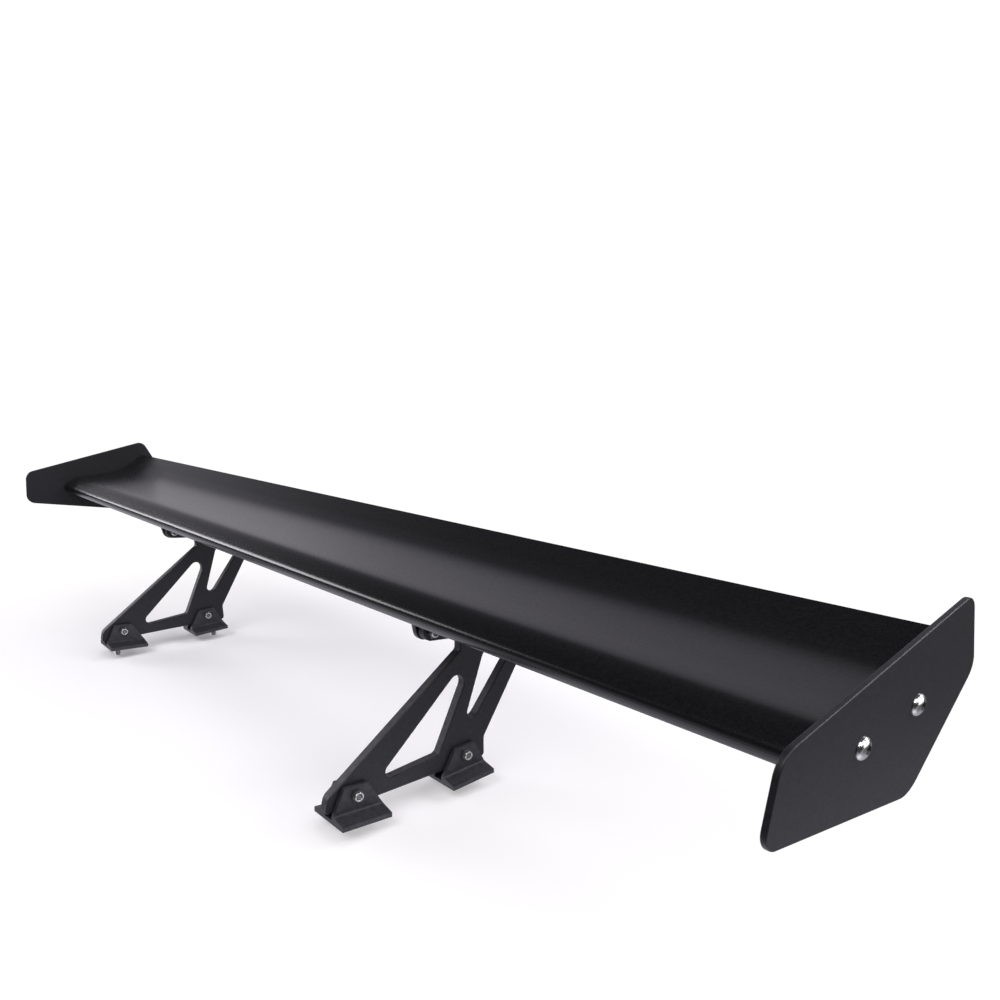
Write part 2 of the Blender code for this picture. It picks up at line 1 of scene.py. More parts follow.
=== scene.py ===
"""The looks of the racing rear wing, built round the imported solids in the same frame, in metres.

Every solid is replaced by a finer piece with rounded edges, real heads, threads and coats.
"""

import math
from collections import namedtuple

import bmesh
import bpy
import numpy as np
from mathutils import Euler, Matrix, Vector
from mathutils.geometry import tessellate_polygon


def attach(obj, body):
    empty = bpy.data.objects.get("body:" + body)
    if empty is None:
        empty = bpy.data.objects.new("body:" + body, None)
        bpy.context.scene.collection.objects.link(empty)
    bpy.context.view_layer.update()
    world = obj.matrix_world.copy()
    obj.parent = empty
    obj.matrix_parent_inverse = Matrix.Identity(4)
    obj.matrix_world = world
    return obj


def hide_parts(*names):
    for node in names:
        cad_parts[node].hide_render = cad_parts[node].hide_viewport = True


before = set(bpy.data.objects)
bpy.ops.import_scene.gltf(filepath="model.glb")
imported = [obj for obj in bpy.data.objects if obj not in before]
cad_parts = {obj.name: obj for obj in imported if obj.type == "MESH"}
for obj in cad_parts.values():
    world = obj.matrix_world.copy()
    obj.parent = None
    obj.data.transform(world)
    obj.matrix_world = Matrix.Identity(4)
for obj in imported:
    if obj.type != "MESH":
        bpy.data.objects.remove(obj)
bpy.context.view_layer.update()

# Overall layout, as in the solids
OVERALL_SPAN = 1.100
LEG_SPACING = 0.484
FOOT_SPACING = 0.095
PIVOT_HEIGHT = 0.0280
FRAME_SHIFT = 0.0258
GAP = 0.0003

# Blade section, along the chord from the nose and above the chord line
CHORD = 0.1138
CHORD_ANGLE = math.radians(18.0)
NOSE = (-0.0079, 0.1481)
SKIN = 0.0022
TRAILING_EDGE = 0.0020
TAIL_RISE = 0.0017
UPPER_STATIONS = (0.0003, 0.00105, 0.0026, 0.0060, 0.0110, 0.0165, 0.0215, 0.0285, 0.0460, 0.0650, 0.0790,
                  0.0910, 0.1030)
UPPER_HEIGHTS = (0.00175, 0.0032, 0.00425, 0.0054, 0.0068, 0.0077, 0.0075, 0.0059, 0.0012, -0.0028, -0.0040,
                 -0.0026, 0.0001)
LOWER_STATIONS = (0.00015, 0.0009, 0.0026, 0.0080, 0.0160, 0.0240, 0.0380, 0.0550, 0.0720, 0.0880, 0.1040)
LOWER_HEIGHTS = (-0.0024, -0.0050, -0.0067, -0.0082, -0.00955, -0.0108, -0.01285, -0.0142, -0.0136, -0.0101,
                 -0.0046)
SECTION_STEPS = 12
PORT_STATIONS = (0.0196, 0.0675)
PORT_HEIGHTS = (0.0020, -0.0077)
WEB_WIDTH = 0.0124
NOSE_CELL_START = 0.0048
TAIL_CELL_END = 0.0860
CELL_STEPS = 9

# End plates, with each corner measured behind and above the nose
PLATE_THICKNESS = 0.0030
PLATE_CORNERS = ((-0.0488, -0.0147), (0.0794, -0.0367), (0.1310, 0.0160), (0.1113, 0.0556), (-0.0434, 0.0237))
PLATE_RADII = (0.010, 0.018, 0.010, 0.010, 0.012)
PLATE_ROUND = 0.0007

# Button-head screws of the plates
PLATE_SCREW_RADIUS = 0.0030
PLATE_SCREW_HEAD = (0.00525, 0.0033)
PLATE_SCREW_LENGTH = 0.0160
PLATE_SOCKET = (0.0040, 0.0020)
BUTTON_RIM_SHARE = 0.15
HEAD_CHAMFER = 0.0002

# Ears and their pan-head screws
EAR_STATIONS = {"front": 0.0256, "rear": 0.0940}
PAD_LENGTH = 0.0400
PAD_WIDTH = 0.0170
PAD_THICKNESS = 0.0045
PAD_CORNER = 0.0080
TAB_THICKNESS = 0.0045
TAB_HOLE_HEIGHT = 0.0120
TAB_END_RADIUS = 0.0080
EAR_ROUND = 0.0006
EAR_SCREW_SPACING = 0.0250
EAR_SCREW_RADIUS = 0.0027
EAR_SCREW_HEAD = (0.0058, 0.0030)
EAR_SCREW_BITE = 0.0034
CROSS_WIDTH = 0.0013
CROSS_LENGTH = 0.0062
CROSS_DEPTH = 0.0017
CROSS_TAPER = 0.35
CROSS_TURN = 0.6
CROSS_TURN_SPREAD = 1.1
PAN_RIM_SHARE = 0.25

# Bolts and nuts of the ears and the feet
BOLT_RADIUS = 0.0025
BOLT_HEAD = (0.00475, 0.0028)
BOLT_SOCKET = (0.0030, 0.0016)
BOLT_TIP_RADIUS = 0.0020
BOLT_TIP_LENGTH = 0.0016
BOLT_TIP_CHAMFER = 0.0003
BOLT_TIP_FACES = 4
BOLT_SINK = 0.0006
NUT_FLATS = 0.0080
NUT_HEIGHT = 0.0040
NUT_HEX_HEIGHT = 0.0026
NUT_CHAMFER_SLOPE = 0.58
NUT_FOOT_CHAMFER = 0.0004
COLLAR_RADIUS = 0.0036
COLLAR_BORE = 0.0021
COLLAR_DOME = 0.0007
COLLAR_SEAT = 0.0014

# Legs
LEG_THICKNESS = 0.0080
LEG_DROP = 0.0091
LEG_END_RADIUS = 0.0070
TOE_REACH = 0.0225
TOE_LEAN = 0.0030
TOE_RISE = 0.0022
HEEL_REACH = 0.0213
HEEL_RISE = 0.0071
ARM_LENGTH = 0.0246
ARM_FALL = 0.0025
SHOULDER_HEIGHT = 0.0099
POST_WIDTH = 0.0159
SADDLE_DROP = 0.0030
SADDLE_LENGTH = 0.0240
HIP_REACH = 0.0233
HIP_DROP = 0.0461
TOE_RADII = (0.0020, 0.0090)
HEEL_RADII = (0.0030, 0.0040)
HIP_RADIUS = 0.0100
SADDLE_RADIUS = 0.0080
SHOULDER_RADII = (0.0030, 0.0040)
FRONT_WINDOW = ((0.0170, 0.0003), (-0.0219, 0.0049), (0.0430, -0.0158))
FRONT_WINDOW_RADII = (0.0050, 0.0050, 0.0070)
REAR_WINDOW = ((-0.0045, 0.0052), (-0.0185, -0.0080), (0.0467, -0.0240))
REAR_WINDOW_RADII = (0.0050, 0.0050, 0.0060)
LEG_ROUND = 0.0010

# Feet and studs
FOOT_LENGTH = 0.0390
FOOT_WIDTH = 0.0380
FOOT_DROP = 0.0180
FOOT_INSET = 0.0020
FOOT_FLOOR = 0.0030
FOOT_FLANGE_EDGE = 0.0035
FOOT_FLANGE_ROOT = 0.0062
FOOT_FILLET = 0.0020
EAR_WALL = 0.0032
EAR_RISE = 0.0071
EAR_TOP_LENGTH = 0.0185
FOOT_ROUND = 0.0005
FOOT_TILT = {"front": math.radians(-4.0), "rear": math.radians(3.0)}
STUD_OFFSET = 0.0060
STUD_RADIUS = 0.0030
STUD_HEAD = (0.0080, 0.0030)
THREAD_PITCH = 0.0010
THREAD_DEPTH = 0.0006
THREAD_RUN_OUT = 1.5
THREAD_START = 0.05

# Fineness
ROUND_STEPS = 48
HEXAGON_SIDES = 6
ARC_STEPS = 12
ROUND_RINGS = 3
DOME_STEPS = 10
THREAD_TURN_STEPS = 20
THREAD_PITCH_ROWS = 6.0
LEAST_THREAD_ROWS = 4
SOFTEN_SEGMENTS = 2
LARGE_FACE_WEIGHT = 80
SLOPE_STEPS = 100.0
WELD = 0.000001
SHARP_ANGLE = math.radians(32.0)

SIDEWAYS = Euler((math.pi / 2.0, 0.0, math.pi / 2.0)).to_matrix().to_4x4()
LENGTHWISE = Matrix.Rotation(math.pi / 2.0, 4, "X")
SIDES = {"left": 1.0, "right": -1.0}
ENDS = {"front": -1.0, "rear": 1.0}

# Materials

NOISE_SPAN = (0.3, 0.7)
TONE_SPAN = (0.35, 0.65)
DARK_SHARE = 0.75
LIGHT_SHARE = 1.3
METAL_GRAIN = (0.015, 0.00005)
PLAIN_DETAIL = 3.0
GRAIN_DETAIL = 4.0
METAL_DETAIL = 2.0
TONE_COARSENESS = 6.0
GLOSS_COARSENESS = 2.0
METAL_GLOSS_FINENESS = 2.0
METAL_GRAIN_FINENESS = 4.0
SPAN_SETTINGS = ("From Min", "From Max", "To Min", "To Max")


class Coat:
    """A node-based material with helpers for its colour, gloss and grain."""

    def __init__(self, name, metallic=0.0):
        self.material = bpy.data.materials.new(name)
        self.material.use_nodes = True
        self.tree = self.material.node_tree
        self.shader = self.tree.nodes["Principled BSDF"]
        self.shader.inputs["Metallic"].default_value = metallic
        self.place = self.tree.nodes.new("ShaderNodeTexCoord").outputs["Object"]

    def noise(self, scale, detail=PLAIN_DETAIL):
        texture = self.tree.nodes.new("ShaderNodeTexNoise")
        texture.inputs["Scale"].default_value = scale
        texture.inputs["Detail"].default_value = detail
        self.tree.links.new(self.place, texture.inputs["Vector"])
        return texture.outputs["Fac"]

    def colour(self, source, dark, light):
        ramp = self.tree.nodes.new("ShaderNodeValToRGB")
        for stop, place, tone in zip(ramp.color_ramp.elements, TONE_SPAN, (dark, light)):
            stop.position = place
            stop.color = (*tone, 1.0)
        self.tree.links.new(source, ramp.inputs["Fac"])
        self.tree.links.new(ramp.outputs["Color"], self.shader.inputs["Base Color"])

    def gloss(self, source, low, high):
        span = self.tree.nodes.new("ShaderNodeMapRange")
        for value, setting in zip((*NOISE_SPAN, low, high), SPAN_SETTINGS):
            span.inputs[setting].default_value = value
        self.tree.links.new(source, span.inputs["Value"])
        self.tree.links.new(span.outputs["Result"], self.shader.inputs["Roughness"])

    def grain(self, source, strength, depth):
        bump = self.tree.nodes.new("ShaderNodeBump")
        bump.inputs["Strength"].default_value = strength
        bump.inputs["Distance"].default_value = depth
        self.tree.links.new(source, bump.inputs["Height"])
        self.tree.links.new(bump.outputs["Normal"], self.shader.inputs["Normal"])


def black_coat(name, tone, gloss, grain_scale, grain_strength, grain_depth):
    coat = Coat(name)
    dark = tuple(DARK_SHARE * channel for channel in tone)
    light = tuple(LIGHT_SHARE * channel for channel in tone)
    coat.colour(coat.noise(grain_scale / TONE_COARSENESS), dark, light)
    coat.gloss(coat.noise(grain_scale / GLOSS_COARSENESS), *gloss)
    coat.grain(coat.noise(grain_scale, GRAIN_DETAIL), grain_strength, grain_depth)
    return coat.material


def bright_metal(name, dark, light, gloss, scale):
    coat = Coat(name, 1.0)
    coat.colour(coat.noise(scale, METAL_DETAIL), dark, light)
    coat.gloss(coat.noise(scale * METAL_GLOSS_FINENESS), *gloss)
    coat.grain(coat.noise(scale * METAL_GRAIN_FINENESS, METAL_DETAIL), *METAL_GRAIN)
    return coat.material


BLADE_COAT = black_coat("blade_satin_black", (0.0042, 0.0041, 0.0050), (0.24, 0.30), 2600.0, 0.025, 0.00005)
PLATE_COAT = black_coat("plate_satin_black", (0.0090, 0.0088, 0.0112), (0.36, 0.46), 2200.0, 0.03, 0.00006)
LEG_COAT = black_coat("leg_satin_black", (0.0098, 0.0096, 0.0122), (0.44, 0.58), 1600.0, 0.30, 0.00012)
# Painted light: the legs' edge walls are several times lighter than their faces; the rougher, coarser grain
# there is the cut finish
LEG_EDGE_LIT_COAT = black_coat("leg_cut_edge_painted_light", (0.0450, 0.0445, 0.0495), (0.46, 0.62), 1300.0, 0.60, 0.00018)
FOOT_COAT = black_coat("foot_satin_black", (0.0310, 0.0305, 0.0345), (0.42, 0.55), 1800.0, 0.22, 0.00010)
EAR_COAT = black_coat("ear_gloss_black", (0.0060, 0.0058, 0.0066), (0.18, 0.28), 1500.0, 0.08, 0.00006)
NYLON = black_coat("nut_nylon", (0.0200, 0.0200, 0.0220), (0.45, 0.60), 1500.0, 0.10, 0.00006)
CHROME = bright_metal("screw_chrome", (0.70, 0.69, 0.68), (0.82, 0.81, 0.80), (0.12, 0.20), 900.0)
ZINC = bright_metal("bolt_zinc", (0.52, 0.52, 0.50), (0.66, 0.65, 0.62), (0.20, 0.34), 1300.0)
# Painted shade: the nut's hex flanks and foot get a much darker metal than its bright zinc collar
NUT_FLANK_SHADE = bright_metal("nut_flank_painted_shade", (0.10, 0.10, 0.10), (0.16, 0.16, 0.155), (0.30, 0.45), 1300.0)
BOLT_TIP = bright_metal("bolt_dark_end", (0.15, 0.15, 0.15), (0.25, 0.25, 0.245), (0.32, 0.46), 1500.0)
STUD_ZINC = bright_metal("stud_zinc", (0.42, 0.42, 0.41), (0.56, 0.55, 0.53), (0.26, 0.40), 1300.0)

# Outlines, as lists of points that run anticlockwise

Corner = namedtuple("Corner", "point radius")
End = namedtuple("End", "point radius")


def circle(centre, radius, steps=ROUND_STEPS):
    turns = [2.0 * math.pi * i / steps for i in range(steps)]
    return [(centre[0] + radius * math.cos(t), centre[1] + radius * math.sin(t)) for t in turns]


def hexagon(across_flats):
    return circle((0.0, 0.0), across_flats / math.sqrt(3.0), HEXAGON_SIDES)


def along(point, angle, distance):
    return (point[0] + distance * math.cos(angle), point[1] + distance * math.sin(angle))


def shifted(point, offset):
    return (point[0] + offset[0], point[1] + offset[1])


def corner_arc(before, corner, after, radius):
    """The points of a rounded corner."""
    corner = Vector(corner)
    to_before = (Vector(before) - corner).normalized()
    to_after = (Vector(after) - corner).normalized()
    half_angle = to_before.angle(to_after) / 2.0
    centre = corner + (to_before + to_after).normalized() * radius / math.sin(half_angle)
    first = corner + to_before * radius / math.tan(half_angle) - centre
    last = corner + to_after * radius / math.tan(half_angle) - centre
    sweep = first.angle_signed(last)
    spokes = [Matrix.Rotation(-sweep * i / ARC_STEPS, 2) @ first for i in range(ARC_STEPS + 1)]
    return [tuple(centre + spoke) for spoke in spokes]


def end_arc(before, centre, after, radius):
    """The points of a round end whose edges come from one point and leave for another."""
    to_before = Vector(before) - Vector(centre)
    to_after = Vector(after) - Vector(centre)
    start = math.atan2(to_before.y, to_before.x) + math.acos(radius / to_before.length)
    end = math.atan2(to_after.y, to_after.x) - math.acos(radius / to_after.length)
    sweep = (end - start) % (2.0 * math.pi)
    steps = 2 * ARC_STEPS
    turns = [start + sweep * i / steps for i in range(steps + 1)]
    return [along(centre, turn, radius) for turn in turns]


def rounded(path):
    """A closed outline from rounded corners and round ends."""
    last = len(path) - 1
    ends = {}
    for i, bend in enumerate(path):
        if isinstance(bend, End):
            after = path[0 if i == last else i + 1].point
            ends[i] = end_arc(path[i - 1].point, bend.point, after, bend.radius)
    outline = []
    for i, bend in enumerate(path):
        before = last if i == 0 else i - 1
        after = 0 if i == last else i + 1
        from_point = ends[before][-1] if before in ends else path[before].point
        to_point = ends[after][0] if after in ends else path[after].point
        outline += ends[i] if i in ends else corner_arc(from_point, bend.point, to_point, bend.radius)
    return outline


def signed_area(outline):
    points = np.array(outline)
    turned_on = np.roll(points, -1, axis=0)
    return 0.5 * float(np.sum(points[:, 0] * turned_on[:, 1] - turned_on[:, 0] * points[:, 1]))


def outward(outline):
    """The outward direction at each point of an outline, led by the longer of its two edges."""
    points = np.array(outline)
    edges = np.roll(points, -1, axis=0) - points
    sums = edges + np.roll(edges, 1, axis=0)
    normals = np.column_stack([sums[:, 1], -sums[:, 0]])
    return normals / np.linalg.norm(normals, axis=1)[:, None]


# Meshes


def mesh_object(name, points, faces, materials, slots=None, normals=None):
    mesh = bpy.data.meshes.new(name)
    mesh.from_pydata([tuple(p) for p in points], [], faces)
    for material in materials:
        mesh.materials.append(material)
    if slots is not None:
        mesh.polygons.foreach_set("material_index", slots)
    mesh.shade_smooth()
    if normals is None:
        mesh.set_sharp_from_angle(angle=SHARP_ANGLE)
    else:
        mesh.normals_split_custom_set_from_vertices([tuple(n) for n in normals])
    piece = bpy.data.objects.new(name, mesh)
    bpy.context.scene.collection.objects.link(piece)
    return piece


def plate_piece(name, outlines, depth, edge_round, material, edge_material=None):
    """A flat piece with rounded rims. The first outline is its edge, and the others are holes."""
    loops = []
    for i, outline in enumerate(outlines):
        wanted = 1.0 if i == 0 else -1.0
        loops.append(outline if signed_area(outline) * wanted > 0.0 else outline[::-1])
    turns = [math.pi / 2.0 * i / ROUND_RINGS for i in range(ROUND_RINGS + 1)] if edge_round else [0.0]
    levels = [(t, depth / 2.0 - edge_round * (1.0 - math.cos(t))) for t in turns]
    levels += [(math.pi - t, -height) for t, height in reversed(levels)]
    points, normals, faces, slots = [], [], [], []
    flat_wall = len(levels) // 2 - 1
    rims = {0: [], len(levels) - 1: []}
    for loop in loops:
        start, count = len(points), len(loop)
        out = outward(loop)
        for turn, height in levels:
            ring = np.array(loop) - out * edge_round * (1.0 - math.sin(turn))
            points += [(*p, height) for p in ring]
            normals += [(*(n * math.sin(turn)), math.cos(turn)) for n in out]
        for level in range(len(levels) - 1):
            low = start + level * count
            for i in range(count):
                j = (i + 1) % count
                faces.append((low + i, low + count + i, low + count + j, low + j))
                slots.append(1 if edge_material and level == flat_wall else 0)
        for level, rim in rims.items():
            rim.append(list(range(start + level * count, start + (level + 1) * count)))
    for level, rim in rims.items():
        order = [index for loop in rim for index in loop]
        cap = tessellate_polygon([[Vector(points[index]) for index in loop] for loop in rim])
        for triangle in cap:
            corner = [order[k] for k in triangle]
            a, b, c = (Vector(points[k]) for k in corner)
            upward = (b - a).cross(c - a).z > 0.0
            faces.append(tuple(corner if upward == (level == 0) else corner[::-1]))
            slots.append(0)
    materials = [material, edge_material] if edge_material else [material]
    return mesh_object(name, points, faces, materials, slots, normals if edge_round else None)


def lathe(name, profile, materials, slots=None):
    """A round piece about its own Z, from (radius, height) points that run from the top to the bottom."""
    points, rings, faces, face_slots = [], [], [], []
    for radius, height in profile:
        start = len(points)
        count = ROUND_STEPS if radius > 0.0 else 1
        points += [(*p, height) for p in circle((0.0, 0.0), radius)[:count]]
        rings.append((start, count))
    for k, ((upper, many), (lower, more)) in enumerate(zip(rings, rings[1:])):
        for i in range(ROUND_STEPS):
            j = (i + 1) % ROUND_STEPS
            if many == 1:
                face = (upper, lower + i, lower + j)
            elif more == 1:
                face = (upper + i, lower, upper + j)
            else:
                face = (upper + i, lower + i, lower + j, upper + j)
            faces.append(face)
            face_slots.append(slots[k] if slots else 0)
    return mesh_object(name, points, faces, materials, face_slots)


def dome(radius, height, rim_share):
    """The (radius, height) points of a domed head, from its crown to its rim."""
    rim = height * rim_share
    turns = [math.pi / 2.0 * (1.0 - i / DOME_STEPS) for i in range(DOME_STEPS + 1)]
    crown = [(radius * math.cos(t), rim + (height - rim) * math.sin(t)) for t in turns]
    crown[0] = (0.0, height)
    return crown + [(radius, HEAD_CHAMFER), (radius - HEAD_CHAMFER, 0.0)]


def threaded(name, radius, top, bottom, material):
    """A threaded rod about its own Z, from a top height down to a bottom one, with a chamfered end."""
    length = top - bottom
    rows = max(LEAST_THREAD_ROWS, int(math.ceil(length / THREAD_PITCH * THREAD_PITCH_ROWS)))
    run_out = THREAD_RUN_OUT * THREAD_DEPTH
    points, faces = [], []
    for row in range(rows + 1):
        down = length * row / rows
        ease = min(1.0, (length - down) / run_out, max(THREAD_START, down / run_out))
        for step in range(THREAD_TURN_STEPS):
            share = (down / THREAD_PITCH + step / THREAD_TURN_STEPS) % 1.0
            groove = THREAD_DEPTH * (1.0 - abs(2.0 * share - 1.0))
            reach = radius - max(groove, THREAD_DEPTH * (1.0 - ease))
            turn = 2.0 * math.pi * step / THREAD_TURN_STEPS
            points.append((*along((0.0, 0.0), turn, reach), top - down))
    for row in range(rows):
        for step in range(THREAD_TURN_STEPS):
            after = (step + 1) % THREAD_TURN_STEPS
            upper, lower = row * THREAD_TURN_STEPS, (row + 1) * THREAD_TURN_STEPS
            faces.append((upper + step, lower + step, lower + after, upper + after))
    faces.append(tuple(range(THREAD_TURN_STEPS)))
    faces.append(tuple(reversed(range(rows * THREAD_TURN_STEPS, (rows + 1) * THREAD_TURN_STEPS))))
    return mesh_object(name, points, faces, [material])


def settle(piece, sharp=True):
    """Applies the piece's modifiers, so that its mesh is final."""
    graph = bpy.context.evaluated_depsgraph_get()
    mesh = bpy.data.meshes.new_from_object(piece.evaluated_get(graph), depsgraph=graph)
    piece.modifiers.clear()
    piece.data = mesh
    if sharp:
        mesh.shade_smooth()
        mesh.set_sharp_from_angle(angle=SHARP_ANGLE)
    return piece


def work(piece, tool, operation):
    """Cuts, joins or trims a piece with a tool that is then removed."""
    boolean = piece.modifiers.new("work", "BOOLEAN")
    boolean.operation = operation
    boolean.solver = "EXACT"
    boolean.object = tool
    bpy.context.view_layer.update()
    settle(piece)
    bpy.data.objects.remove(tool)
    return piece


def soften(piece, width):
    """Rounds the piece's sharp edges and lets its large faces lead the shading."""
    bevel = piece.modifiers.new("soften", "BEVEL")
    bevel.width = width
    bevel.segments = SOFTEN_SEGMENTS
    bevel.limit_method = "ANGLE"
    bevel.angle_limit = SHARP_ANGLE
    bevel.miter_outer = "MITER_ARC"
    bpy.context.view_layer.update()
    settle(piece, False)
    piece.data.shade_smooth()
    normals = piece.modifiers.new("normals", "WEIGHTED_NORMAL")
    normals.weight = LARGE_FACE_WEIGHT
    normals.keep_sharp = False


def seat(piece, node, body, matrix):
    """Puts a finished piece where its solid is, on the solid's body."""
    piece.matrix_world = Matrix.Translation((0.0, -FRAME_SHIFT, 0.0)) @ matrix
    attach(piece, body)
    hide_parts(node)


# Blade


def smooth_line(stations, heights):
    """A smooth line through the given points, as many small steps."""
    points = np.column_stack([stations, heights])
    padded = np.vstack([2.0 * points[0] - points[1], points, 2.0 * points[-1] - points[-2]])
    line = []
    for p0, p1, p2, p3 in zip(padded, padded[1:], padded[2:], padded[3:]):
        for i in range(SECTION_STEPS):
            t = i / SECTION_STEPS
            bend = (2.0 * p0 - 5.0 * p1 + 4.0 * p2 - p3) * t**2
            twist = (3.0 * p1 - p0 - 3.0 * p2 + p3) * t**3
            line.append(0.5 * (2.0 * p1 + (p2 - p0) * t + bend + twist))
    line.append(points[-1])
    return np.array(line)


TAIL = TRAILING_EDGE / 2.0
UPPER = smooth_line((0.0, *UPPER_STATIONS, CHORD), (0.0, *UPPER_HEIGHTS, TAIL_RISE + TAIL))
LOWER = smooth_line((0.0, *LOWER_STATIONS, CHORD), (0.0, *LOWER_HEIGHTS, TAIL_RISE - TAIL))


def height_at(line, station):
    return float(np.interp(station, line[:, 0], line[:, 1]))


def slope_at(line, station):
    step = CHORD / SLOPE_STEPS
    rise = height_at(line, station + step) - height_at(line, station - step)
    return math.atan2(rise, 2.0 * step)


def on_wing(station, height):
    """A point of the section as (distance behind the middle, height above the ground)."""
    return along(along(NOSE, CHORD_ANGLE, station), CHORD_ANGLE + math.pi / 2.0, height)


def cell(start, end):
    """A hollow between two webs, one skin inside the section."""
    stations = np.linspace(start, end, CELL_STEPS)
    floor = [(s, height_at(LOWER, s) + SKIN / math.cos(slope_at(LOWER, s))) for s in stations]
    roof = [(s, height_at(UPPER, s) - SKIN / math.cos(slope_at(UPPER, s))) for s in stations]
    return floor + roof[::-1]


def ear_seat(end):
    """The seat of an ear on the blade's underside: its point and the slope of the surface there."""
    station = EAR_STATIONS[end]
    return on_wing(station, height_at(LOWER, station)), CHORD_ANGLE + slope_at(LOWER, station)


def ear_point(end, depth):
    point, slope = ear_seat(end)
    return along(point, slope - math.pi / 2.0, depth)


def ear_bolt_point(end):
    return ear_point(end, GAP + PAD_THICKNESS + TAB_HOLE_HEIGHT)


def leg_middle(side):
    return SIDES[side] * LEG_SPACING / 2.0


TAB_OFFSET = (LEG_THICKNESS + TAB_THICKNESS) / 2.0 + GAP


def build_blade():
    edge = [tuple(p) for p in LOWER] + [tuple(p) for p in UPPER[:0:-1]]
    half_web = WEB_WIDTH / 2.0
    front_port, rear_port = PORT_STATIONS
    cells = [cell(NOSE_CELL_START, front_port - half_web),
             cell(EAR_STATIONS["front"] + half_web, rear_port - half_web),
             cell(rear_port + half_web, TAIL_CELL_END)]
    ports = [circle(port, PLATE_SCREW_RADIUS + GAP) for port in zip(PORT_STATIONS, PORT_HEIGHTS)]
    length = OVERALL_SPAN - 2.0 * (PLATE_THICKNESS + GAP)
    blade = plate_piece("blade", [edge, *cells, *ports], length, 0.0, BLADE_COAT)
    turn = Matrix.Rotation(CHORD_ANGLE, 4, "X") @ SIDEWAYS
    seat(blade, "wing_blade", "wing", Matrix.Translation((0.0, *NOSE)) @ turn)


# End plates


def socket_head(name, head, shank, socket, materials, tip_faces=0):
    """A domed screw with a hexagon socket. Its head sits on height zero, and its shank points down."""
    profile = dome(*head, BUTTON_RIM_SHARE) + shank
    slots = [0] * (len(profile) - 1 - tip_faces) + [1] * tip_faces
    screw = lathe(name, profile, materials, slots)
    tool = plate_piece("socket", [hexagon(socket[0])], 2.0 * socket[1], 0.0, materials[0])
    tool.location.z = head[1]
    return work(screw, tool, "DIFFERENCE")


def build_end_plates():
    corners = [shifted(NOSE, corner) for corner in PLATE_CORNERS]
    edge = rounded([Corner(*bend) for bend in zip(corners, PLATE_RADII)])
    ports = [on_wing(*port) for port in zip(PORT_STATIONS, PORT_HEIGHTS)]
    holes = [circle(port, PLATE_SCREW_RADIUS + GAP) for port in ports]
    shank = [(PLATE_SCREW_RADIUS, 0.0), (PLATE_SCREW_RADIUS, -PLATE_SCREW_LENGTH),
             (0.0, -PLATE_SCREW_LENGTH)]
    for side, sign in SIDES.items():
        plate = plate_piece(f"plate_{side}", [edge, *holes], PLATE_THICKNESS, PLATE_ROUND, PLATE_COAT)
        place = Matrix.Translation((sign * (OVERALL_SPAN - PLATE_THICKNESS) / 2.0, 0.0, 0.0))
        seat(plate, f"end_plate_{side}", "wing", place @ SIDEWAYS)
        for end, port in zip(ENDS, ports):
            name = f"button_screw_{side}_{end}"
            screw = socket_head(name, PLATE_SCREW_HEAD, shank, PLATE_SOCKET, [CHROME])
            screw.visible_glossy = False  # the satin plate shows no streak of light from the bright head
            place = Matrix.Translation((sign * (OVERALL_SPAN / 2.0 + GAP), *port))
            turn = Matrix.Rotation(sign * math.pi / 2.0, 4, "Y")
            seat(screw, f"plate_screw_{side}_{end}", "wing", place @ turn)


# Ears


def cross_head(name, material):
    """A pan-head screw with a cross recess. Its head sits on height zero, and its shank points down."""
    length = PAD_THICKNESS + 2.0 * GAP + EAR_SCREW_BITE
    shank = [(EAR_SCREW_RADIUS, 0.0), (EAR_SCREW_RADIUS, -length), (0.0, -length)]
    screw = lathe(name, dome(*EAR_SCREW_HEAD, PAN_RIM_SHARE) + shank, [material])
    for turn in (0.0, math.pi / 2.0):
        half = CROSS_LENGTH / 2.0
        low, high = EAR_SCREW_HEAD[1] - CROSS_DEPTH, EAR_SCREW_HEAD[1] + CROSS_DEPTH
        flute = [(-half * CROSS_TAPER, low), (half * CROSS_TAPER, low), (half, high), (-half, high)]
        tool = plate_piece("cross", [flute], CROSS_WIDTH, 0.0, material)
        tool.matrix_world = Matrix.Rotation(turn, 4, "Z") @ LENGTHWISE
        work(screw, tool, "DIFFERENCE")
    return screw


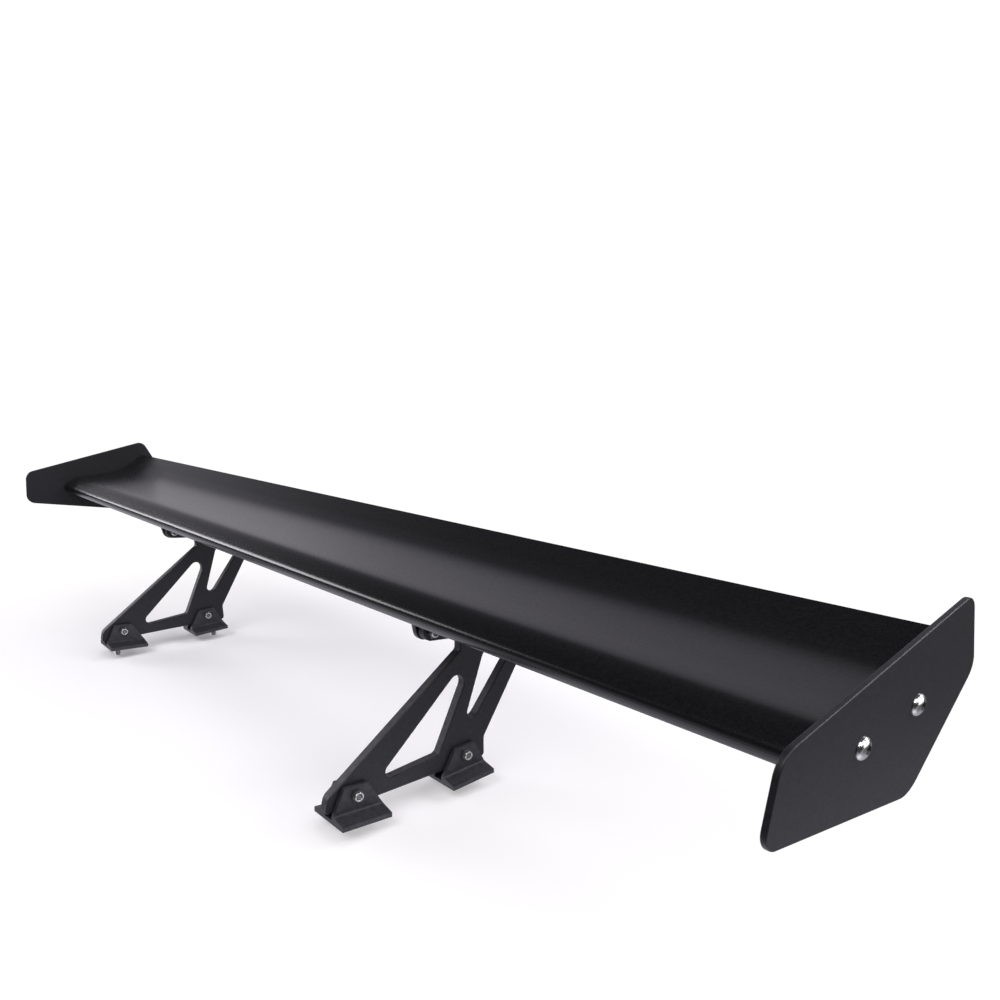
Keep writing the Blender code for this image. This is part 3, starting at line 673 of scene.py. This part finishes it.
def build_ears():
    half_length, half_width = PAD_LENGTH / 2.0, PAD_WIDTH / 2.0
    corners = [(-half_length, -half_width), (half_length, -half_width),
               (half_length, half_width), (-half_length, half_width)]
    edge = rounded([Corner(corner, PAD_CORNER) for corner in corners])
    spots = {"inner": -EAR_SCREW_SPACING / 2.0, "outer": EAR_SCREW_SPACING / 2.0}
    holes = [circle((spot, 0.0), EAR_SCREW_RADIUS + GAP) for spot in spots.values()]
    top = PAD_THICKNESS + TAB_HOLE_HEIGHT
    root = PAD_THICKNESS / 2.0
    tab_edge = [(-half_width, root), (half_width, root)]
    tab_edge += end_arc(tab_edge[1], (0.0, top), tab_edge[0], TAB_END_RADIUS)
    tab_hole = circle((0.0, top), BOLT_RADIUS + GAP)
    for side, sign in SIDES.items():
        for end in ENDS:
            slope = ear_seat(end)[1]
            under = Matrix.Translation((leg_middle(side) - TAB_OFFSET, *ear_point(end, GAP)))
            carrier = under @ Matrix.Rotation(slope + math.pi, 4, "X")
            half_pad = Matrix.Translation((0.0, 0.0, PAD_THICKNESS / 2.0))
            ear = plate_piece(f"lug_{side}_{end}", [edge, *holes], PAD_THICKNESS, EAR_ROUND, EAR_COAT)
            tab = plate_piece("tab", [tab_edge, tab_hole], TAB_THICKNESS, EAR_ROUND, EAR_COAT)
            tab.matrix_world = half_pad.inverted() @ SIDEWAYS
            work(ear, tab, "UNION")
            normals = ear.modifiers.new("normals", "WEIGHTED_NORMAL")
            normals.keep_sharp = True
            seat(ear, f"ear_{side}_{end}", "wing", carrier @ half_pad)
            for row, spot in spots.items():
                screw = cross_head(f"pan_screw_{side}_{end}_{row}", CHROME)
                place = Matrix.Translation((sign * spot, 0.0, PAD_THICKNESS + GAP))
                angle = CROSS_TURN + CROSS_TURN_SPREAD * spot / EAR_SCREW_SPACING
                turn = Matrix.Rotation(angle, 4, "Z")
                seat(screw, f"ear_screw_{side}_{end}_{row}", "wing", carrier @ place @ turn)


# Bolts and nuts


def lock_nut(name):
    """A nut whose domed collar is rolled over a dark nylon ring. It stands on height zero."""
    corner = NUT_FLATS / math.sqrt(3.0)
    bore = BOLT_RADIUS + GAP
    ring = (COLLAR_BORE, NUT_HEIGHT - COLLAR_SEAT)
    middle, half = (COLLAR_RADIUS + COLLAR_BORE) / 2.0, (COLLAR_RADIUS - COLLAR_BORE) / 2.0
    turns = [math.pi * (1.0 - i / DOME_STEPS) for i in range(DOME_STEPS + 1)]
    crest = [(middle + half * math.cos(t), NUT_HEIGHT - COLLAR_DOME * (1.0 - math.sin(t)))
             for t in turns]
    chamfer = NUT_HEX_HEIGHT - (corner - NUT_FLATS / 2.0) * NUT_CHAMFER_SLOPE
    profile = [ring, *crest, (COLLAR_RADIUS, NUT_HEX_HEIGHT), (NUT_FLATS / 2.0, NUT_HEX_HEIGHT),
               (corner, chamfer), (corner, NUT_FOOT_CHAMFER), (corner - NUT_FOOT_CHAMFER, 0.0),
               (bore, 0.0), (bore, ring[1]), ring]
    # In order: the nylon ring, the collar, the flanks, which carry a darker metal as painted shade, and the
    # bore
    slots = [1] + [0] * len(crest) + [2] * (len(profile) - len(crest) - 4) + [1, 1]
    nut = lathe(name, profile, [ZINC, NYLON, NUT_FLANK_SHADE], slots)
    shape = bmesh.new()
    shape.from_mesh(nut.data)
    bmesh.ops.remove_doubles(shape, verts=shape.verts, dist=WELD)
    shape.to_mesh(nut.data)
    shape.free()
    tool = plate_piece("hexagon", [hexagon(NUT_FLATS)], 4.0 * NUT_HEIGHT, 0.0, ZINC)
    return work(nut, tool, "INTERSECT")


def build_cross_bolt(names, slot_nodes, start, end, point):
    """A bolt whose head seats at one place along X, with its nut at another, on the left."""
    length = end - start + 2.0 * GAP + NUT_HEIGHT - BOLT_SINK
    collar = BOLT_TIP_LENGTH - length
    shank = [(BOLT_RADIUS, 0.0), (BOLT_RADIUS, collar), (BOLT_TIP_RADIUS, collar),
             (BOLT_TIP_RADIUS, BOLT_TIP_CHAMFER - length), (BOLT_TIP_RADIUS - BOLT_TIP_CHAMFER, -length),
             (0.0, -length)]
    bolt = socket_head(names[0], BOLT_HEAD, shank, BOLT_SOCKET, [ZINC, BOLT_TIP], BOLT_TIP_FACES)
    turn = Matrix.Rotation(-math.pi / 2.0, 4, "Y")
    seat(bolt, slot_nodes[0], "wing", Matrix.Translation((start - GAP, *point)) @ turn)
    nut = lock_nut(names[1])
    seat(nut, slot_nodes[1], "wing", Matrix.Translation((end + GAP, *point)) @ SIDEWAYS)


# Legs


def pivot(end):
    return (ENDS[end] * FOOT_SPACING / 2.0, PIVOT_HEIGHT)


def leg_hip():
    """The rearmost corner of a leg, set out from the rear ear's bolt."""
    return shifted(ear_bolt_point("rear"), (HIP_REACH, -HIP_DROP))


def leg_edge():
    front_bolt, rear_bolt = ear_bolt_point("front"), ear_bolt_point("rear")
    bottom = PIVOT_HEIGHT - LEG_DROP
    toe_low = (pivot("front")[0] - TOE_REACH, bottom)
    toe_high = (toe_low[0] + TOE_LEAN, PIVOT_HEIGHT + TOE_RISE)
    heel_low = (pivot("rear")[0] + HEEL_REACH, bottom)
    heel_high = (heel_low[0], PIVOT_HEIGHT + HEEL_RISE)
    saddle_rear = (rear_bolt[0] - POST_WIDTH, front_bolt[1] - SADDLE_DROP)
    saddle_front = (saddle_rear[0] - SADDLE_LENGTH, saddle_rear[1])
    shoulder_high = (front_bolt[0] + ARM_LENGTH, front_bolt[1] - LEG_END_RADIUS - ARM_FALL)
    shoulder_low = (shoulder_high[0], shoulder_high[1] - SHOULDER_HEIGHT)
    return rounded([
        Corner(toe_low, TOE_RADII[0]), Corner(heel_low, HEEL_RADII[0]),
        Corner(heel_high, HEEL_RADII[1]), Corner(leg_hip(), HIP_RADIUS), End(rear_bolt, LEG_END_RADIUS),
        Corner(saddle_rear, SADDLE_RADIUS), Corner(saddle_front, SADDLE_RADIUS),
        End(front_bolt, LEG_END_RADIUS), Corner(shoulder_high, SHOULDER_RADII[0]),
        Corner(shoulder_low, SHOULDER_RADII[1]), Corner(toe_high, TOE_RADII[1]),
    ])


def leg_windows():
    front_bolt = ear_bolt_point("front")
    front = [shifted(base, offset) for base, offset in
             zip((pivot("front"), pivot("rear"), front_bolt), FRONT_WINDOW)]
    rear = [shifted(base, offset) for base, offset in
            zip((pivot("rear"), leg_hip(), front_bolt), REAR_WINDOW)]
    return [rounded([Corner(*bend) for bend in zip(front, FRONT_WINDOW_RADII)]),
            rounded([Corner(*bend) for bend in zip(rear, REAR_WINDOW_RADII)])]


def build_legs():
    points = [point for end in ENDS for point in (ear_bolt_point(end), pivot(end))]
    holes = [circle(point, BOLT_RADIUS + GAP) for point in points]
    half = LEG_THICKNESS / 2.0
    for side in SIDES:
        middle = leg_middle(side)
        leg = plate_piece(f"truss_{side}", [leg_edge(), *leg_windows(), *holes], LEG_THICKNESS, LEG_ROUND,
                          LEG_COAT, LEG_EDGE_LIT_COAT)
        seat(leg, f"leg_{side}", "wing", Matrix.Translation((middle, 0.0, 0.0)) @ SIDEWAYS)
        for end in ENDS:
            names = (f"lug_bolt_{side}_{end}", f"lug_nut_{side}_{end}")
            nodes = (f"ear_bolt_{side}_{end}", f"ear_nut_{side}_{end}")
            tab_face = middle - TAB_OFFSET - TAB_THICKNESS / 2.0
            build_cross_bolt(names, nodes, tab_face, middle + half, ear_bolt_point(end))
            names = (f"pivot_bolt_{side}_{end}", f"pivot_nut_{side}_{end}")
            nodes = (f"foot_bolt_{side}_{end}", f"foot_nut_{side}_{end}")
            reach = half + GAP + EAR_WALL
            build_cross_bolt(names, nodes, middle - reach, middle + reach, pivot(end))


# Feet and studs


def foot_section():
    """The foot's outline as seen along the car, about its pivot."""
    half = FOOT_WIDTH / 2.0
    slot = LEG_THICKNESS / 2.0 + GAP
    wall = slot + EAR_WALL
    base = -FOOT_DROP
    root = (wall, base + FOOT_FLANGE_ROOT)
    fillet = corner_arc((half, base + FOOT_FLANGE_EDGE), root, (wall, EAR_RISE), FOOT_FILLET)
    right = [(half, base), (half, base + FOOT_FLANGE_EDGE), *fillet,
             (wall, EAR_RISE), (slot, EAR_RISE), (slot, base + FOOT_FLOOR)]
    return right + [(-across, up) for across, up in reversed(right)]


def base_middle(end):
    """How far behind the pivot the middle of the foot's base lies."""
    return -ENDS[end] * FOOT_INSET


def foot_side(end):
    """The foot's outline as seen from the side, about its pivot."""
    half, top = FOOT_LENGTH / 2.0, EAR_TOP_LENGTH / 2.0
    shoulder = FOOT_FLANGE_ROOT - FOOT_DROP
    front, rear = base_middle(end) - half, base_middle(end) + half
    return [(front, -FOOT_DROP), (rear, -FOOT_DROP), (rear, shoulder), (top, EAR_RISE), (-top, EAR_RISE),
            (front, shoulder)]


def stud_tip(end):
    """How far below the pivot the stud ends, so that its rim meets the ground."""
    tilt = FOOT_TILT[end]
    lift = ENDS[end] * STUD_OFFSET * math.sin(tilt) - STUD_RADIUS * abs(math.sin(tilt))
    return (PIVOT_HEIGHT + lift) / math.cos(tilt)


def build_feet():
    reach = 2.0 * FOOT_WIDTH
    for side in SIDES:
        for end, sign in ENDS.items():
            body = f"{side}_{end}_foot"
            tilt = Matrix.Rotation(FOOT_TILT[end], 4, "X")
            carrier = Matrix.Translation((leg_middle(side), *pivot(end))) @ tilt
            foot = plate_piece(f"shoe_{side}_{end}", [foot_section()], FOOT_LENGTH, 0.0, FOOT_COAT)
            foot.data.transform(Matrix.Translation((0.0, base_middle(end), 0.0)) @ LENGTHWISE)
            trim = plate_piece("trim", [foot_side(end)], reach, 0.0, FOOT_COAT)
            trim.matrix_world = SIDEWAYS
            work(foot, trim, "INTERSECT")
            bore = plate_piece("bore", [circle((0.0, 0.0), BOLT_RADIUS + GAP)], reach, 0.0, FOOT_COAT)
            bore.matrix_world = SIDEWAYS
            work(foot, bore, "DIFFERENCE")
            floor = (0.0, sign * STUD_OFFSET, FOOT_FLOOR - FOOT_DROP)
            stud_hole = circle((0.0, 0.0), STUD_RADIUS + GAP)
            hole = plate_piece("hole", [stud_hole], 3.0 * FOOT_FLOOR, 0.0, FOOT_COAT)
            hole.matrix_world = Matrix.Translation(floor)
            work(foot, hole, "DIFFERENCE")
            soften(foot, FOOT_ROUND)
            seat(foot, f"foot_{side}_{end}", body, carrier)
            tip = stud_tip(end) + floor[2] + GAP
            half_head = 0.5 * STUD_HEAD[1]
            stud = threaded(f"threaded_stud_{side}_{end}", STUD_RADIUS, half_head, -tip, STUD_ZINC)
            head = plate_piece("head", [hexagon(STUD_HEAD[0])], STUD_HEAD[1], 0.0, STUD_ZINC)
            quarter_turn = Matrix.Rotation(math.pi / 2.0, 4, "Z")
            head.matrix_world = Matrix.Translation((0.0, 0.0, half_head)) @ quarter_turn
            work(stud, head, "UNION")
            lift = Matrix.Translation((floor[0], floor[1], floor[2] + GAP))
            seat(stud, f"stud_{side}_{end}", body, carrier @ lift)


# Stage

FLOOR_REACH = 30.0
FLOOR_SIDES = 64
FLOOR_ROUGHNESS = 0.9
FLOOR_TINT = (1.0, 0.985, 0.99, 1.0)

# The floor that shows fades from its near look to its far one with the distance from a point under the wing.
# A look is a base level and a glow.
SHOWN_HEIGHT = -0.0002
SHOWN_MIDDLE = (-0.08, 0.05, 0.0)
SHOWN_FADE = (0.18, 0.66)
SHOWN_NEAR = (0.90, 0.15)
SHOWN_FAR = (0.0, 1.04)

# The floor that is reflected glows by how far back a place is, and less out past the left end.
# Here and below, stops are (place, level).
BOUNCE_HEIGHT = -0.0004
BOUNCE_BASE = (0.05, 0.05, 0.05, 1.0)
BOUNCE_TINT = (0.97, 0.955, 1.06, 1.0)
BOUNCE_START = -1.5
BOUNCE_DEPTH = 2.5
BOUNCE_STOPS = ((0.0, 0.03), (0.36, 0.06), (0.44, 0.08), (0.50, 0.17), (0.545, 0.50), (0.575, 0.95),
                (0.60, 0.75), (0.64, 0.42), (0.68, 0.36), (0.73, 0.29), (0.80, 0.16), (1.0, 0.10))
SIDE_START = 0.5
SIDE_WIDTH = 0.5
SIDE_STOPS = ((0.0, 1.0), (0.38, 1.0), (0.62, 0.40), (1.0, 0.30))

# The sky is the brighter of a backdrop, by its angle up from the rear and its spread from right to left,
# and a ceiling, by its height and its shares from front to rear and from right to left.
SKY_TINT = (1.0, 0.965, 1.06, 1.0)
BACKDROP_STOPS = ((0.0, 1.0), (0.256, 1.0), (0.317, 0.45), (0.378, 0.0))
SPREAD_STOPS = ((0.0, 0.78), (0.060, 0.78), (0.085, 0.53), (0.130, 0.46), (0.205, 0.40), (0.60, 0.40),
                (0.72, 0.16), (1.0, 0.12))
CEILING_STOPS = ((0.0, 0.45), (0.276, 0.45), (0.342, 0.40), (0.391, 0.28), (0.470, 0.13), (0.588, 0.08),
                 (1.0, 0.05))
FRONT_STOPS = ((0.0, 0.10), (0.375, 0.12), (0.475, 0.55), (0.540, 1.0))
LEFT_STOPS = ((0.0, 1.0), (0.86, 1.0), (0.955, 0.45), (1.0, 0.40))
WHITE = (1.05, 1.05, 1.05, 1.0)

# Lights: metres and watts
LIGHT_TINT = (1.0, 0.975, 1.02)
Softbox = namedtuple("Softbox", "name place target width height power mirrored lit")
SOFTBOXES = (
    Softbox("front_key", (0.8, -1.5, 2.0), (0.0, 0.0, 0.1), 1.8, 1.4, 31.0, True, True),
    Softbox("far_strip", (-2.5, -1.15, 0.95), (0.0, 0.0, 0.15), 1.3, 1.15, 29.0, True, True),
    Softbox("right_fill", (1.6, -0.1, 1.25), (0.5, 0.0, 0.1), 1.6, 1.4, 8.5, True, True),
    Softbox("overhead", (0.5, 0.6, 1.8), (0.0, 0.0, 0.0), 2.0, 2.0, 21.0, False, True),
    Softbox("rear_rim", (1.4, 1.55, 1.45), (0.5, 0.0, 0.15), 0.8, 0.6, 12.0, True, True),
    Softbox("side_card", (0.877, 0.213, 0.272), (0.553, 0.01, 0.155), 0.425, 0.29, 0.52, True, False),
)

# Camera, solved on the photograph's straight edges
CAMERA_PLACE = (0.6739, -0.3172, 0.2976)
CAMERA_RIGHT = (0.65367, 0.75678, 0.00042)
CAMERA_DOWN = (0.26104, -0.22495, -0.93875)
CAMERA_AHEAD = (-0.71033, 0.61374, -0.34460)
CAMERA_SENSOR = 36.0
CAMERA_LENS = 28.90
CAMERA_SHIFT = (0.00635, 0.16616)
CAMERA_NEAREST = 0.01


def grey_ramp(tree, source, stops):
    """A grey level that follows the source through (place, level) stops."""
    ramp = tree.nodes.new("ShaderNodeValToRGB")
    elements = ramp.color_ramp.elements
    while len(elements) < len(stops):
        elements.new(0.5)
    for stop, (place, level) in zip(elements, stops):
        stop.position = place
        stop.color = (level, level, level, 1.0)
    tree.links.new(source, ramp.inputs["Fac"])
    return ramp.outputs["Color"]


def arithmetic(tree, operation, *operands):
    node = tree.nodes.new("ShaderNodeMath")
    node.operation = operation
    for socket, operand in zip(node.inputs, operands):
        if isinstance(operand, float):
            socket.default_value = operand
        else:
            tree.links.new(operand, socket)
    return node.outputs["Value"]


def plain_floor(name, height):
    """A wide matt floor, with its shader and the place on it."""
    rim = [(*corner, 0.0) for corner in circle((0.0, 0.0), FLOOR_REACH, FLOOR_SIDES)]
    floor = mesh_object(name, rim, [tuple(range(FLOOR_SIDES))], [])
    floor.location.z = height
    material = bpy.data.materials.new(name)
    material.use_nodes = True
    shader = material.node_tree.nodes["Principled BSDF"]
    shader.inputs["Roughness"].default_value = FLOOR_ROUGHNESS
    shader.inputs["Specular IOR Level"].default_value = 0.0
    shader.inputs["Emission Color"].default_value = FLOOR_TINT
    floor.data.materials.append(material)
    place = material.node_tree.nodes.new("ShaderNodeTexCoord").outputs["Object"]
    return floor, material.node_tree, shader, place


def build_shown_floor():
    """The floor that the camera sees, which takes the shadows near the wing and turns white further out."""
    floor, tree, shader, place = plain_floor("floor_shown", SHOWN_HEIGHT)
    distance = tree.nodes.new("ShaderNodeVectorMath")
    distance.operation = "DISTANCE"
    tree.links.new(place, distance.inputs[0])
    distance.inputs[1].default_value = SHOWN_MIDDLE
    for socket, near, far in zip(("Base Color", "Emission Strength"), SHOWN_NEAR, SHOWN_FAR):
        span = tree.nodes.new("ShaderNodeMapRange")
        span.interpolation_type = "SMOOTHSTEP"
        for value, setting in zip((*SHOWN_FADE, near, far), SPAN_SETTINGS):
            span.inputs[setting].default_value = value
        tree.links.new(distance.outputs["Value"], span.inputs["Value"])
        tree.links.new(span.outputs["Result"], shader.inputs[socket])
    floor.visible_glossy = False
    floor.visible_diffuse = False


def build_bounce_floor():
    """The floor that the wing reflects: brightest under the nose, and dim in front, behind and far off."""
    floor, tree, shader, place = plain_floor("floor_bounce", BOUNCE_HEIGHT)
    shader.inputs["Base Color"].default_value = BOUNCE_BASE
    shader.inputs["Emission Color"].default_value = BOUNCE_TINT
    split = tree.nodes.new("ShaderNodeSeparateXYZ")
    tree.links.new(place, split.inputs["Vector"])
    depth = arithmetic(tree, "MULTIPLY_ADD", split.outputs["Y"], 1.0 / BOUNCE_DEPTH,
                       -BOUNCE_START / BOUNCE_DEPTH)
    beside = arithmetic(tree, "MULTIPLY_ADD", split.outputs["X"], 1.0 / SIDE_WIDTH,
                        -SIDE_START / SIDE_WIDTH)
    glow = arithmetic(tree, "MULTIPLY", grey_ramp(tree, depth, BOUNCE_STOPS),
                      grey_ramp(tree, beside, SIDE_STOPS))
    tree.links.new(glow, shader.inputs["Emission Strength"])
    floor.visible_camera = False


def build_world():
    """A bright backdrop behind the wing under a dark ceiling, and plain white to the camera."""
    world = bpy.data.worlds.new("studio")
    bpy.context.scene.world = world
    world.use_nodes = True
    tree = world.node_tree
    split = tree.nodes.new("ShaderNodeSeparateXYZ")
    tree.links.new(tree.nodes.new("ShaderNodeTexCoord").outputs["Generated"], split.inputs["Vector"])
    tip_back = arithmetic(tree, "ARCTAN2", split.outputs["Z"], split.outputs["Y"])
    backdrop = grey_ramp(tree, arithmetic(tree, "MULTIPLY", tip_back, 1.0 / math.pi), BACKDROP_STOPS)
    sideways = arithmetic(tree, "MULTIPLY_ADD", split.outputs["X"], 0.5, 0.5)
    spread = grey_ramp(tree, sideways, SPREAD_STOPS)
    depth = arithmetic(tree, "MULTIPLY_ADD", split.outputs["Y"], 0.5, 0.5)
    ceiling = arithmetic(tree, "MULTIPLY", grey_ramp(tree, split.outputs["Z"], CEILING_STOPS),
                         grey_ramp(tree, depth, FRONT_STOPS))
    ceiling = arithmetic(tree, "MULTIPLY", ceiling, grey_ramp(tree, sideways, LEFT_STOPS))
    level = arithmetic(tree, "MAXIMUM", arithmetic(tree, "MULTIPLY", backdrop, spread), ceiling)
    dim = tree.nodes["Background"]
    dim.inputs["Color"].default_value = SKY_TINT
    tree.links.new(level, dim.inputs["Strength"])
    white = tree.nodes.new("ShaderNodeBackground")
    white.inputs["Color"].default_value = WHITE
    path = tree.nodes.new("ShaderNodeLightPath")
    mix = tree.nodes.new("ShaderNodeMixShader")
    tree.links.new(path.outputs["Is Camera Ray"], mix.inputs["Fac"])
    tree.links.new(dim.outputs["Background"], mix.inputs[1])
    tree.links.new(white.outputs["Background"], mix.inputs[2])
    tree.links.new(mix.outputs["Shader"], tree.nodes["World Output"].inputs["Surface"])


def build_lights():
    """Soft panels. One that isn't mirrored doesn't show in gloss, and one that isn't lit shows only there."""
    for box in SOFTBOXES:
        light = bpy.data.lights.new(box.name, "AREA")
        light.shape = "RECTANGLE"
        light.size = box.width
        light.size_y = box.height
        light.energy = box.power
        light.color = LIGHT_TINT
        lamp = bpy.data.objects.new(box.name, light)
        bpy.context.scene.collection.objects.link(lamp)
        lamp.location = box.place
        lamp.rotation_mode = "QUATERNION"
        lamp.rotation_quaternion = (Vector(box.target) - Vector(box.place)).to_track_quat("-Z", "Y")
        lamp.visible_glossy = box.mirrored
        lamp.visible_diffuse = box.lit
        lamp.visible_camera = False


def build_camera():
    camera = bpy.data.cameras.new("camera")
    camera.sensor_width = CAMERA_SENSOR
    camera.lens = CAMERA_LENS
    camera.shift_x, camera.shift_y = CAMERA_SHIFT
    camera.clip_start = CAMERA_NEAREST
    viewer = bpy.data.objects.new("camera", camera)
    bpy.context.scene.collection.objects.link(viewer)
    right, down, ahead = (Vector(axis) for axis in (CAMERA_RIGHT, CAMERA_DOWN, CAMERA_AHEAD))
    turn = Matrix((right, -down, -ahead)).transposed().to_4x4()
    viewer.matrix_world = Matrix.Translation(CAMERA_PLACE) @ turn
    bpy.context.scene.camera = viewer


build_blade()
build_end_plates()
build_ears()
build_legs()
build_feet()
build_shown_floor()
build_bounce_floor()
build_world()
build_lights()
build_camera()
bpy.context.scene.view_settings.view_transform = "Standard"
